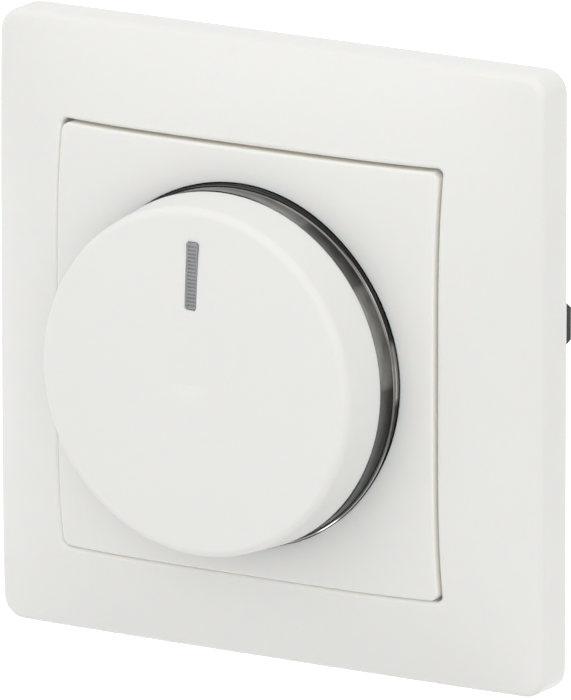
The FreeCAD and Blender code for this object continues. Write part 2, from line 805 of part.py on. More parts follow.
def make_claws():
    pins = []
    pin_reach = "(claw_width / 2 + ear_gap + ear_sheet)"
    for side, sign in (("left", "-"), ("right", "")):
        body = new_body("claw_" + side)
        half = "(claw_width / 2)"
        inner = "(claw_pivot_x - 1)"
        outer = "(claw_pivot_x - 1 + claw_sheet)"
        lean = "claw_tip_out + 0.4"
        arm = polygon([
            (f"{sign}{inner}", "claw_pivot_depth"),
            (f"{sign}{inner}", "claw_bend_depth + 0.2"),
            (f"{sign}({inner} + {lean} - 0.2)", "claw_tip_depth + 0.35"),
            (f"{sign}({outer} + {lean} - 0.4)", "claw_tip_depth - 0.35"),
            (f"{sign}{outer}", "claw_bend_depth - 0.2"),
            (f"{sign}{outer}", "claw_pivot_depth"),
        ])
        pad(body, f"-{half}", half, arm, plane="top")
        heel = f"{sign}claw_pivot_x"
        knuckle = circle(heel, "claw_pivot_depth", "claw_knuckle")
        pad(body, f"-{half}", half, knuckle, plane="top")
        toe = f"{sign}(claw_pivot_x + claw_foot_reach)"
        low_x, high_x = (heel, toe) if sign == "" else (toe, heel)
        front = "claw_pivot_depth - claw_sheet / 2"
        rear = "claw_pivot_depth + claw_sheet / 2"
        pad(body, f"-{half}", half, rectangle(low_x, high_x, front, rear), plane="top")
        tip_depth = number("claw_tip_depth")

        def at_tip(edge):
            box = edge.BoundBox
            return box.YMin > tip_depth - 1 and box.XLength > 0.3 and box.ZLength < 0.01

        dress(body, "Chamfer", "claw_tip_chamfer", at_tip)
        hole = circle(f"{sign}claw_pivot_x", "claw_pivot_depth", "claw_pin_radius + 0.05")
        pocket(body, f"-{half} - 1", f"{half} + 1", hole, plane="top")
        middle = f"{sign}(claw_screw_x + 0.25)"
        passage = slot(middle, "0", "0.3", "(claw_screw_radius + screw_clearance)", "x")
        pocket(body, f"-({rear}) - 1", f"-({front}) + 1", passage)
        keep(body, "claw_" + side)
        pins.append(post("claw_pin", "claw_pin_radius", (f"-{pin_reach}", pin_reach),
                         f"{sign}claw_pivot_x", "claw_pivot_depth"))
        make_claw_screw(side, sign)
    keep(group("claw_pins", pins), "claw_pins")


def make_claw_screw(side, sign):
    head_top = "(support_thick + claw_head_height)"
    body = turned("claw_screw_" + side, [
        ("0", head_top),
        ("claw_head_radius - 0.5", head_top),
        ("claw_head_radius", f"{head_top} - 0.5"),
        ("claw_head_radius", "support_thick"),
        ("claw_screw_radius", "support_thick"),
        ("claw_screw_radius", "-(claw_screw_length - 0.5)"),
        ("claw_screw_radius - 0.5", "-claw_screw_length"),
        ("0", "-claw_screw_length"),
    ], x=f"{sign}claw_screw_x")
    driver = rectangle("-claw_head_radius - 1", "claw_head_radius + 1", "-screw_slot / 2", "screw_slot / 2")
    pocket(body, f"{head_top} - 0.9", f"{head_top} + 1", driver)
    keep(body, "claw_screw_" + side)


# Rotary control: body, bush, shaft, clip, rotor, spring, switch and plunger


def sector(inner, outer, half_angle, centre_angle):
    """A ring sector whose middle lies at centre_angle, in degrees from +X towards +Z."""
    points = []
    for radius, turn in ((outer, "-"), (outer, "+"), (inner, "+"), (inner, "-")):
        angle = f"(({centre_angle}) {turn} ({half_angle}))"
        points.append((f"({radius}) * cos({angle})", f"({radius}) * sin({angle})"))
    points[0] += ("Radius", outer, 1)
    points[2] += ("Radius", inner, -1)
    return polygon(points)


def make_control_body():
    body = new_body("control_body")
    pad(body, "-control_depth", DECK_IN, square("(control_side / 2)"))
    dress(body, "Chamfer", "1.0", along_y)
    pocket(body, BUSH_SEAT, DECK_IN, circle("0", "0", "bush_flange + 0.1"))
    pocket(body, f"-{CONTROL_FLOOR}", BUSH_SEAT, circle("0", "0", "control_cavity"))
    pocket(body, "-control_depth", f"-{CONTROL_FLOOR}", circle("0", "0", "stub_radius + 0.3"))
    stop_low = "-(rotor_front_depth + rotor_thick + rotor_hub_thick)"
    pad(body, stop_low, "-(rotor_front_depth - 0.4)",
        sector("stop_inner", "control_cavity + 0.4", "stop_half_angle", "270"))
    for place in ("-5", "0", "5"):
        pad(body, "-board_depth", "-control_depth", circle(place, "-(control_side / 2 - 1.4)", "0.4"))
    keep(body, "control_body")


def make_bush():
    seat = DECK_IN
    body = turned("threaded_bush", [
        ("shaft_radius + shaft_gap", BUSH_SEAT),
        ("bush_flange", BUSH_SEAT),
        ("bush_flange", seat),
        ("bush_radius", seat),
        ("bush_radius", "bush_height - 0.6"),
        ("bush_radius - 0.6", "bush_height"),
        ("shaft_radius + shaft_gap", "bush_height"),
    ])
    keep(body, "threaded_bush")
    washer = turned("nut_washer", [
        ("bush_radius + bush_gap", "floor_height"),
        ("washer_radius", "floor_height"),
        ("washer_radius", NUT_SEAT),
        ("bush_radius + bush_gap", NUT_SEAT),
    ])
    keep(washer, "nut_washer")
    nut = new_body("fixing_nut")
    corner = "(nut_flats / 2 / cos(30))"
    hexagon = [(f"{corner} * cos({turn})", f"{corner} * sin({turn})") for turn in range(0, 360, 60)]
    pad(nut, NUT_SEAT, f"{NUT_SEAT} + nut_height", polygon(hexagon))
    nut_top = number(f"{NUT_SEAT} + nut_height")
    dress(nut, "Chamfer", "0.4", lambda edge: edge.BoundBox.YMax < 0.01 - nut_top)
    thread = circle("0", "0", "bush_radius + thread_gap")
    pocket(nut, f"{NUT_SEAT} - 1", f"{NUT_SEAT} + nut_height + 1", thread)
    keep(nut, "fixing_nut")


def make_shaft():
    clip_high = f"({BUSH_SEAT} - clip_play)"
    clip_low = f"({BUSH_SEAT} - clip_play - clip_thick)"
    groove = "shaft_radius - clip_groove"
    body = turned("shaft", [
        ("0", "shaft_top"),
        ("shaft_radius - 0.5", "shaft_top"),
        ("shaft_radius", "shaft_top - 0.5"),
        ("shaft_radius", clip_high),
        (groove, clip_high),
        (groove, clip_low),
        ("shaft_radius", clip_low),
        ("shaft_radius", "-shaft_step_depth"),
        ("stub_radius", "-shaft_step_depth"),
        ("stub_radius", "-stub_depth + 0.3"),
        ("stub_radius - 0.3", "-stub_depth"),
        ("0", "-stub_depth"),
    ])
    wide = "(shaft_radius + 1)"
    pocket(body, "-shaft_step_depth", "shaft_top + 1", rectangle(f"-{wide}", wide, "shaft_flat", wide))
    keep(body, "shaft")
    clip = turned("shaft_clip", [
        (groove, clip_low),
        ("clip_radius", clip_low),
        ("clip_radius", clip_high),
        (groove, clip_high),
    ])
    gap = rectangle("-(shaft_radius - clip_groove) * 0.8", "(shaft_radius - clip_groove) * 0.8",
                    "-(clip_radius + 1)", "0")
    pocket(clip, f"{clip_low} - 1", f"{clip_high} + 1", gap)
    keep(clip, "shaft_clip")


def make_rotor():
    front = "-rotor_front_depth"
    rear = "-(rotor_front_depth + rotor_thick)"
    hub_rear = "-(rotor_front_depth + rotor_thick + rotor_hub_thick)"
    bore = "shaft_radius + shaft_gap"
    body = turned("wiper_rotor", [
        (bore, front),
        ("rotor_radius", front),
        ("rotor_radius", rear),
        ("rotor_hub", rear),
        ("rotor_hub", hub_rear),
        (bore, hub_rear),
    ])
    pad(body, rear, front, sector("rotor_radius - 0.6", "lug_radius", "lug_half_angle", "90"))
    land = rectangle("-(shaft_radius - 0.2)", "shaft_radius - 0.2",
                     "shaft_flat + shaft_gap", "rotor_hub - 0.4")
    pad(body, hub_rear, front, land)
    keep(body, "wiper_rotor")


def make_spring():
    body = new_body("return_spring")
    spare = "(spring_wire / 2 + 0.05)"
    corner = "(spring_wire / 2)"
    wire = [(f"spring_mean + {corner} * cos({turn})", f"shaft_step_depth + {spare} + {corner} * sin({turn})")
            for turn in range(0, 360, 45)]
    drawing = draw(body, "top", "0", [polygon(wire)])
    coil = body.newObject("PartDesign::AdditiveHelix", "spring_coil")
    coil.Profile = drawing
    coil.ReferenceAxis = (drawing, ["V_Axis"])
    coil.Mode = "height-turns-angle"
    bind(coil, "Height", f"{CONTROL_FLOOR} - shaft_step_depth - 2 * {spare}")
    bind(coil, "Turns", "spring_turns")
    doc.recompute()
    keep(body, "return_spring")


def make_switch():
    body = new_body("push_switch")
    half = "(switch_width / 2)"
    tall = "(switch_height / 2)"
    face = "-control_depth"
    pad(body, "-board_depth", face, rectangle(f"-{half}", half, f"-{tall}", tall))
    dress(body, "Fillet", "0.5", along_y)
    bore = circle("0", "0", "plunger_radius + plunger_gap")
    pocket(body, "-(stub_depth + plunger_length + push_travel + 0.6)", face, bore)
    for place in ("-4.2", "4.2"):
        pocket(body, f"{face} - 0.8", face, circle(place, "0", "1.1"))
    keep(body, "push_switch")
    tip = "-(stub_depth + plunger_gap)"
    foot = "-(stub_depth + plunger_gap + plunger_length)"
    plunger = turned("switch_plunger", [
        ("0", tip),
        ("plunger_radius - 0.4", tip),
        ("plunger_radius", f"{tip} - 0.4"),
        ("plunger_radius", foot),
        ("0", foot),
    ])
    keep(plunger, "switch_plunger")


# Knob: hollow moulding with hub and ribs, chrome ring on its foot, lens in its face


def make_knob():
    bore = "shaft_radius + shaft_gap"
    round_top = (f"ridge_radius - {ROUND_REACH} * cos({EDGE_SLOPE})",
                 f"ridge_height + {ROUND_REACH} * sin({EDGE_SLOPE})")
    round_foot = (f"ridge_radius + {ROUND_REACH} * sin({SIDE_LEAN})",
                  f"ridge_height - {ROUND_REACH} * cos({SIDE_LEAN})")
    body = turned("rotary_knob", [
        ("0", FACE, "CentreX", "0", -1),
        round_top + ("Radius", "knob_round", -1),
        round_foot,
        ("skirt_radius", "skirt_height"),
        ("skirt_radius - knob_wall", "skirt_height"),
        ("skirt_radius - knob_wall", "skirt_height + knob_seat"),
        ("ridge_radius - knob_wall", KNOB_CEILING),
        ("hub_radius", KNOB_CEILING),
        ("hub_radius", "hub_low"),
        (bore, "hub_low"),
        (bore, "shaft_top + 0.1"),
        ("0", "shaft_top + 0.1"),
    ])
    land = rectangle("-(shaft_radius - 0.2)", "shaft_radius - 0.2", "shaft_flat + leaf_sheet + 0.04",
                     "hub_radius - 0.4")
    pad(body, "hub_low", "shaft_top + 0.1", land)
    rib = pad(body, "knob_rib_low", f"{KNOB_CEILING} + 0.3",
              rectangle("hub_radius - 0.5", "ridge_radius - knob_wall + 0.3",
                        "-knob_rib / 2", "knob_rib / 2"))
    spokes = body.newObject("PartDesign::PolarPattern", "knob_spokes")
    spokes.Originals = [rib]
    spokes.Axis = (next(item for item in body.Origin.OriginFeatures if item.Role == "Y_Axis"), [""])
    spokes.Angle = 360
    spokes.Occurrences = 6
    body.Tip = spokes
    doc.recompute()
    half = "(lens_width / 2 + lens_gap)"
    window = rectangle(f"-{half}", half, f"{LENS_IN} - lens_gap", f"{LENS_OUT} + lens_gap")
    slit = pocket(body, f"{KNOB_CEILING} - 0.5", f"{FACE} + 1", window)
    tilt_sketch(slit.Profile[0])
    doc.recompute()
    inner, outer = number(LENS_IN) - 1, number(LENS_OUT) + 1

    def at_window(edge):
        box = edge.BoundBox
        return along_y(edge) and abs(box.XMax) < 2 and inner < box.ZMin < outer and box.YLength > 0.5

    dress(body, "Fillet", "lens_corner + lens_gap", at_window)
    keep(body, "rotary_knob")


def tilt_sketch(drawing):
    """Turn a sketch on the front plane by the lens's small lean to the right."""
    bind(drawing, "AttachmentOffset.Rotation.Angle", "-lens_tilt")
    drawing.AttachmentOffset.Rotation = Rotation(Vector(0, 0, 1), -number("lens_tilt"))


def make_ring():
    neck = "(skirt_radius - knob_wall - neck_gap)"
    body = turned("chrome_ring", [
        ("ring_flange_radius", "ring_rear"),
        ("ring_flange_radius", "ring_flange_height - 0.1"),
        ("ring_flange_radius - 0.1", "ring_flange_height"),
        ("ring_foot + 0.06", "ring_flange_height + ring_bevel - 0.06"),
        ("ring_foot", "ring_flange_height + ring_bevel"),
        ("ring_foot - 0.06", "ring_flange_height + ring_bevel", "Radius", "ring_cove", -1),
        ("skirt_radius + 0.04", "skirt_height"),
        (neck, "skirt_height"),
        (neck, "skirt_height + knob_seat - 0.2"),
        (f"{neck} - ring_neck_wall", "skirt_height + knob_seat - 0.2"),
        (f"{neck} - ring_neck_wall", "skirt_height - 1.2"),
        ("ring_inner", "skirt_height - 2.2"),
        ("ring_inner", "ring_rear"),
    ])
    keep(body, "chrome_ring")


def make_lens():
    body = new_body("indicator_lens")
    half = "(lens_width / 2)"
    face = f"({FACE} - lens_radius * lens_radius * dome_rise / (ridge_radius * ridge_radius) - lens_recess)"
    flange_top = KNOB_CEILING
    pad(body, flange_top, face, rectangle(f"-{half}", half, LENS_IN, LENS_OUT))
    dress(body, "Fillet", "lens_corner", along_y)
    wide = "(lens_width / 2 + lens_flange)"
    pad(body, f"{flange_top} - lens_flange_thick", flange_top,
        rectangle(f"-{wide}", wide, f"{LENS_IN} - lens_flange", f"{LENS_OUT} + lens_flange"))
    leg = "(lens_leg / 2)"
    pad(body, "lens_leg_low", f"{flange_top} - lens_flange_thick",
        rectangle(f"-{leg}", leg, LENS_IN, f"{LENS_IN} + lens_leg"))
    pitch = "(lens_length - 0.6) / lens_ribs"
    first = f"({LENS_IN} + 0.3 + {pitch} * 0.3)"
    groove = pocket(body, f"{face} - lens_rib_depth", f"{face} + 0.2",
                    rectangle(f"-{half} + 0.25", f"{half} - 0.25", first, f"{first} + {pitch} * 0.4"))
    ribs = body.newObject("PartDesign::LinearPattern", "lens_rib_row")
    ribs.Originals = [groove]
    ribs.Direction = (next(item for item in body.Origin.OriginFeatures if item.Role == "Z_Axis"), [""])
    bind(ribs, "Length", f"{pitch} * (lens_ribs - 1)")
    bind(ribs, "Occurrences", "lens_ribs")
    body.Tip = ribs
    body.Placement = Placement(Vector(), Rotation(Vector(0, 1, 0), number("lens_tilt")))
    bind(body, "Placement.Rotation.Angle", "lens_tilt")
    doc.recompute()
    keep(body, "indicator_lens")


def make_hub_spring():
    half = "(leaf_width / 2)"
    near = "shaft_flat + 0.02"
    leaf = slab("hub_spring", (f"-{half}", half), ("hub_low + 0.3", "hub_low + 0.3 + leaf_length"),
                (near, f"{near} + leaf_sheet"))
    keep(leaf, "hub_spring")


# Electronics on the circuit board


def make_board():
    body = new_body("circuit_board")
    outline = waisted("(board_side / 2)", "board_chamfer", "(recess_half + housing_wall + board_gap)",
                      "(board_side / 2 - housing_side / 2 + housing_wall + recess_depth + board_gap)")
    pad(body, f"-{BOARD_REAR}", "-board_depth", outline)
    keep(body, "circuit_board")


def make_choke():
    rear = f"-{PART_END}"
    front = f"-{BOARD_REAR}"
    core = turned("choke_core", [
        ("0", rear),
        ("choke_radius", rear),
        ("choke_radius", f"{rear} + choke_flange"),
        ("choke_core_radius", f"{rear} + choke_flange"),
        ("choke_core_radius", f"{front} - choke_flange"),
        ("choke_radius", f"{front} - choke_flange"),
        ("choke_radius", front),
        ("0", front),
    ], x="-choke_x", z="choke_z")
    keep(core, "choke_core")
    low = f"({rear} + choke_flange + 0.1)"
    turns = int(number("choke_turns"))
    pitch = "((part_depth - 2 * choke_flange - 0.2) / choke_turns)"
    outer = "(choke_radius - 0.4)"
    groove = "(choke_radius - 0.8)"
    inner = "choke_core_radius + 0.1"
    profile = [(inner, low)]
    for turn in range(turns):
        profile.append((groove, f"{low} + {turn} * {pitch}"))
        profile.append((outer, f"{low} + ({turn} + 0.5) * {pitch}"))
    profile.append((groove, f"{low} + {turns} * {pitch}"))
    profile.append((inner, f"{low} + {turns} * {pitch}"))
    keep(turned("choke_winding", profile, x="-choke_x", z="choke_z"), "choke_winding")


def make_capacitors():
    film = new_body("film_capacitor")
    spans = ("film_x - film_width / 2", "film_x + film_width / 2",
             "film_z - film_height / 2", "film_z + film_height / 2")
    pad(film, f"-{PART_END}", f"-{BOARD_REAR}", rectangle(*spans))
    dress(film, "Fillet", "film_round", along_y)
    keep(film, "film_capacitor")
    rear = f"-{PART_END}"
    front = f"-{BOARD_REAR}"
    can = turned("electrolytic_capacitor", [
        ("0", rear),
        ("can_radius - 0.5", rear),
        ("can_radius", f"{rear} + 0.5"),
        ("can_radius", f"{front} - 1.9"),
        ("can_radius - 0.4", f"{front} - 1.5"),
        ("can_radius", f"{front} - 1.1"),
        ("can_radius", front),
        ("0", front),
    ], x="can_x", z="can_z")
    keep(can, "electrolytic_capacitor")


def make_fuse():
    depth = f"({BOARD_REAR} + fuse_height)"
    body = new_body("glass_fuse")
    end = "(fuse_length / 2)"
    cap = "(fuse_length / 2 - 5)"
    pad(body, f"-{end}", end, circle(depth, "-fuse_z", "fuse_radius - 0.2"), plane="side")
    for low, high in ((f"-{end}", f"-{cap}"), (cap, end)):
        pad(body, low, high, circle(depth, "-fuse_z", "fuse_radius"), plane="side")
    keep(body, "glass_fuse")
    reach = "(fuse_radius + 0.05)"
    outer = "(fuse_radius + 0.05 + fuse_sheet)"
    top = f"({depth} + fuse_radius)"
    for index, middle in ((1, "-(fuse_length / 2 - 2.5)"), (2, "(fuse_length / 2 - 2.5)")):
        clip = new_body("fuse_clip_%d" % index)
        profile = polygon([
            (BOARD_REAR, f"-fuse_z - {outer}"), (top, f"-fuse_z - {outer}"), (top, f"-fuse_z - {reach}"),
            (f"{BOARD_REAR} + fuse_sheet", f"-fuse_z - {reach}"),
            (f"{BOARD_REAR} + fuse_sheet", f"-fuse_z + {reach}"),
            (top, f"-fuse_z + {reach}"), (top, f"-fuse_z + {outer}"), (BOARD_REAR, f"-fuse_z + {outer}"),
        ])
        pad(clip, f"{middle} - fuse_clip_width / 2", f"{middle} + fuse_clip_width / 2", profile, plane="side")
        keep(clip, "fuse_clip_%d" % index)


def make_power_stage():
    sink_top = HOUSING_IN
    sink_low = f"({HOUSING_IN} - sink_thick)"
    near = f"({BOARD_REAR} + 0.6)"
    far = f"({REAR_IN} - 0.1)"
    sink = new_body("heat_sink")
    profile = polygon([
        (near, sink_low), (near, sink_top), (far, sink_top), (far, f"{sink_low} - sink_lip"),
        (f"{far} - sink_thick", f"{sink_low} - sink_lip"), (f"{far} - sink_thick", sink_low),
    ])
    pad(sink, "-sink_width / 2", "sink_width / 2", profile, plane="side")
    hole_depth = f"({near} + 0.8 + transistor_length / 2)"
    for sign in ("-", ""):
        pocket(sink, f"{sink_low} - 0.5", f"{sink_top} + 0.5",
               circle(f"{sign}transistor_x", hole_depth, "0.9 + thread_gap"), plane="top")
    keep(sink, "heat_sink")
    screws = []
    for side, sign in (("left", "-"), ("right", "")):
        centre = f"{sign}transistor_x"
        body = new_body("transistor_" + side)
        low_z = f"({sink_low} - transistor_thick)"
        half = "(transistor_width / 2)"
        case = rectangle(f"{centre} - {half}", f"{centre} + {half}",
                         f"{near} + 0.8", f"{near} + 0.8 + transistor_length")
        pad(body, low_z, sink_low, case, plane="top")
        pocket(body, f"{low_z} - 1", f"{sink_low} + 1", circle(centre, hole_depth, "1.1"), plane="top")
        lead = "(transistor_leads / 2)"
        lead_z = f"({sink_low} - transistor_thick / 2)"
        for place in ("-2.54", "0", "2.54"):
            middle = f"{centre} + {place}"
            wire = rectangle(f"{middle} - {lead}", f"{middle} + {lead}",
                             f"{lead_z} - {lead}", f"{lead_z} + {lead}")
            pad(body, f"-({near} + 1.1)", f"-{BOARD_REAR}", wire)
        keep(body, "transistor_" + side)
        head = post("transistor_screw_head", "1.9", (f"{low_z} - 1.2", low_z), centre, hole_depth)
        shank = post("transistor_screw_shank", "0.9", (f"{low_z} - 0.4", f"{sink_top} - 0.1"),
                     centre, hole_depth)
        screws.append(fuse("transistor_screw", head, shank))
    keep(group("transistor_screws", screws), "transistor_screws")


def make_led():
    base = "(deck_height - deck_wall)"
    body = turned("indicator_led", [
        ("0", "led_top", "CentreX", "0", -1),
        ("led_radius", "led_top - led_radius"),
        ("led_radius", base),
        ("led_radius + 0.4", base),
        ("led_radius + 0.4", f"{base} - 0.8"),
        ("0", f"{base} - 0.8"),
    ], z="led_z")
    for place in ("-0.8", "0.8"):
        lead = rectangle(f"{place} - led_lead", f"{place} + led_lead", "-led_lead", "led_lead")
        pad(body, "-board_depth", f"{base} - 0.5", lead)
    keep(body, "indicator_led")


def make_terminals():
    floor_z = f"-{HOUSING_IN}"
    block_low = f"({floor_z} + 0.1)"
    block_high = f"({floor_z} + 0.1 + terminal_height)"
    half = "(terminal_width / 2)"
    screws = []
    for index, place in ((1, "-terminal_pitch"), (2, "0"), (3, "terminal_pitch")):
        body = new_body("terminal_clamp_%d" % index)
        block = rectangle(f"{place} - {half}", f"{place} + {half}", block_low, block_high)
        pad(body, f"-{REAR_IN}", f"-({REAR_IN} - terminal_depth)", block)
        pin = rectangle(f"{place} - 0.5", f"{place} + 0.5", "-wire_place - 0.5", "-wire_place + 0.5")
        pad(body, f"-({REAR_IN} - terminal_depth)", f"-{BOARD_REAR}", pin)
        wire_end = f"-({REAR_IN} - terminal_depth + 1.4)"
        pocket(body, f"-{REAR_IN}", wire_end, circle(place, "-wire_place", "wire_radius"))
        tapped = circle(place, "clamp_screw_depth", "clamp_screw_radius + thread_gap")
        pocket(body, f"{block_low} - 1", "-wire_place", tapped, plane="top")
        keep(body, "terminal_clamp_%d" % index)
        under = f"({block_low})"
        shank_top = "-wire_place - wire_radius + 0.6"
        head = post("clamp_head", "clamp_screw_head", (f"{under} - 1.3", under),
                    place, "clamp_screw_depth")
        shank = post("clamp_shank", "clamp_screw_radius", (f"{under} - 0.4", shank_top),
                     place, "clamp_screw_depth")
        driver = slab("clamp_slot", (f"{place} - screw_slot / 2", f"{place} + screw_slot / 2"),
                      ("-clamp_screw_depth - 4", "-clamp_screw_depth + 4"),
                      (f"{under} - 2", f"{under} - 0.7"))
        screws.append(cut("terminal_screw", fuse("clamp_screw_blank", head, shank), driver))
    keep(group("terminal_screws", screws), "terminal_screws")


def make_housing_screws():
    screws = []
    for sign in ("", "-"):
        for other in ("", "-"):
            x = f"{sign}screw_offset"
            z = f"{other}screw_offset"
            top = f"{DECK_FACE} + screw_head_height"
            head = rod("housing_screw_head", "screw_head_radius", (DECK_FACE, top), x, z)
            span = ("-housing_screw_length", f"{DECK_FACE} + 0.4")
            shank = rod("housing_screw_shank", "housing_screw_radius", span, x, z)
            bars = []
            for long_x, long_z in (("1.4", "screw_slot / 2"), ("screw_slot / 2", "1.4")):
                bars.append(slab("housing_screw_cross", (f"{x} - {long_x}", f"{x} + {long_x}"),
                                 (f"{top} - 0.8", f"{top} + 1"), (f"{z} - {long_z}", f"{z} + {long_z}")))
            screws.append(cut("housing_screw", fuse("housing_screw_blank", head, shank), *bars))
    keep(group("housing_screws", screws), "housing_screws")


def check_model():
    """Stop if any object failed, any cut removed nothing, or any piece is not sound."""
    for item in doc.Objects:
        if "Invalid" in item.State or "Error" in item.State:
            raise RuntimeError("failed object: " + item.Name)
        if item.TypeId in CUTS and item.Shape.Volume > item.BaseFeature.Shape.Volume - 1e-6:
            raise RuntimeError("cut without effect: " + item.Name)
    for item in nodes:
        if item.Shape.isNull() or not item.Shape.isValid() or not item.Shape.Solids:
            raise RuntimeError("unsound piece: " + item.Label)


make_cover_frame()
make_centre_plate()
make_support_plate()
make_front_cover()
make_rear_housing()
make_claws()
make_control_body()
make_bush()
make_shaft()
make_rotor()
make_spring()
make_switch()
make_knob()
make_ring()
make_lens()
make_hub_spring()
make_board()
make_choke()
make_capacitors()
make_fuse()
make_power_stage()
make_led()
make_terminals()
make_housing_screws()
doc.recompute()
check_model()
os.makedirs("parts", exist_ok=True)
for item in nodes:
    item.Shape.exportStep("parts/%s.step" % item.Label)
print("pieces:", len(nodes))
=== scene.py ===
import json
import math

import bpy
from mathutils import Matrix, Vector


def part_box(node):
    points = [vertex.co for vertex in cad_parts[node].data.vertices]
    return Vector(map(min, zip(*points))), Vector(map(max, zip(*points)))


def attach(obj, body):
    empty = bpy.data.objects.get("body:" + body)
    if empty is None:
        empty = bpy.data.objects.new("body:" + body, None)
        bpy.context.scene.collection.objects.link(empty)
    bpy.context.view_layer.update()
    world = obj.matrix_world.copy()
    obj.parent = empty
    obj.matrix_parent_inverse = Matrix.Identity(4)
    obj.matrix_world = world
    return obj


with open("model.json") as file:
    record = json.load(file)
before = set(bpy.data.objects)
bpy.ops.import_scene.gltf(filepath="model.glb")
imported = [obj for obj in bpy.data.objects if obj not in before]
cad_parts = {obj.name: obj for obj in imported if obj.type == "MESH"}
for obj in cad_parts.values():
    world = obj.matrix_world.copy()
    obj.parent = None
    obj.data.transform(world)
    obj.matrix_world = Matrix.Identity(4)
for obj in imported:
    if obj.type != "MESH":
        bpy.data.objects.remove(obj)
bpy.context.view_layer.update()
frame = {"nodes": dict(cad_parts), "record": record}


# Camera: a long lens from the upper right, at the photograph's angle

AZIMUTH = math.radians(31.131)
ELEVATION = math.radians(14.031)
ROLL = math.radians(0.05)
DISTANCE = 1.9602
LENS = 798.98
SENSOR_WIDTH = 36.0
CLIP = (0.05, 50.0)
AIM_RIGHT = -0.00082
AIM_UP = -0.000809


def add_camera():
    back = Vector((
        math.sin(AZIMUTH) * math.cos(ELEVATION),
        -math.cos(AZIMUTH) * math.cos(ELEVATION),
        math.sin(ELEVATION),
    ))
    right = Vector((math.cos(AZIMUTH), math.sin(AZIMUTH), 0.0))
    up = back.cross(right)
    data = bpy.data.cameras.new("camera")
    data.sensor_width = SENSOR_WIDTH
    data.lens = LENS
    data.clip_start, data.clip_end = CLIP
    camera = bpy.data.objects.new("camera", data)
    bpy.context.scene.collection.objects.link(camera)
    turn = Matrix((right, up, back)).transposed().to_4x4() @ Matrix.Rotation(-ROLL, 4, "Z")
    place = right * AIM_RIGHT + up * AIM_UP + back * DISTANCE
    camera.matrix_world = Matrix.Translation(place) @ turn
    bpy.context.scene.camera = camera


# Studio: white surroundings, a pale floor far below and two soft lamps, as (name, place, size, power)

LAMPS = (
    ("key", (-0.3, -1.3, 1.5), (1.4, 1.0), 3.85),
    ("front", (1.0, -1.5, 0.5), (1.2, 1.2), 4.35),
)
WORLD_STRENGTH = 0.89
WHITE_LIGHT = (1.0, 1.0, 1.0, 1.0)
FLOOR_LEVEL = -3.0
FLOOR_HALF = 40.0
FLOOR_COLOR = (0.8, 0.8, 0.8, 1.0)
DIRECT_RAYS = ("Is Camera Ray", "Is Glossy Ray", "Is Transmission Ray")


def add_lamp(name, place, size, power):
    """A rectangular area lamp that aims at the object."""
    data = bpy.data.lights.new(name, "AREA")
    data.shape = "RECTANGLE"
    data.size, data.size_y = size
    data.energy = power
    light = bpy.data.objects.new(name, data)
    bpy.context.scene.collection.objects.link(light)
    light.location = place
    light.rotation_euler = (-Vector(place)).to_track_quat("-Z", "Y").to_euler()


def seen_directly(nodes, links):
    """A factor of 1 for the kinds of ray that are to see plain white."""
    path = nodes.new("ShaderNodeLightPath")
    factor = path.outputs[DIRECT_RAYS[0]]
    for ray in DIRECT_RAYS[1:]:
        either = nodes.new("ShaderNodeMath")
        either.operation = "MAXIMUM"
        links.new(factor, either.inputs[0])
        links.new(path.outputs[ray], either.inputs[1])
        factor = either.outputs[0]
    return factor


def light_world():
    world = bpy.data.worlds.new("world")
    bpy.context.scene.world = world
    world.use_nodes = True
    nodes, links = world.node_tree.nodes, world.node_tree.links
    nodes.clear()
    mix = nodes.new("ShaderNodeMixShader")
    links.new(seen_directly(nodes, links), mix.inputs[0])
    for socket, strength in ((mix.inputs[1], WORLD_STRENGTH), (mix.inputs[2], 1.0)):
        background = nodes.new("ShaderNodeBackground")
        background.inputs["Color"].default_value = WHITE_LIGHT
        background.inputs["Strength"].default_value = strength
        links.new(background.outputs[0], socket)
    out = nodes.new("ShaderNodeOutputWorld")
    links.new(mix.outputs[0], out.inputs["Surface"])


def add_floor():
    mesh = bpy.data.meshes.new("floor")
    quarters = ((-1, -1), (1, -1), (1, 1), (-1, 1))
    corners = [(FLOOR_HALF * x, FLOOR_HALF * y, FLOOR_LEVEL) for x, y in quarters]
    mesh.from_pydata(corners, [], [(0, 1, 2, 3)])
    floor = bpy.data.objects.new("floor", mesh)
    bpy.context.scene.collection.objects.link(floor)
    material = bpy.data.materials.new("floor")
    material.use_nodes = True
    nodes, links = material.node_tree.nodes, material.node_tree.links
    nodes.clear()
    matt = nodes.new("ShaderNodeBsdfDiffuse")
    matt.inputs["Color"].default_value = FLOOR_COLOR
    glow = nodes.new("ShaderNodeEmission")
    links.new(seen_directly(nodes, links), glow.inputs["Strength"])
    both = nodes.new("ShaderNodeAddShader")
    links.new(matt.outputs[0], both.inputs[0])
    links.new(glow.outputs[0], both.inputs[1])
    out = nodes.new("ShaderNodeOutputMaterial")
    links.new(both.outputs[0], out.inputs["Surface"])
    mesh.materials.append(material)


# Materials: most have a colour that varies a little, a grain of their own and uneven gloss

EVEN = (1.0, 1.0, 1.0)


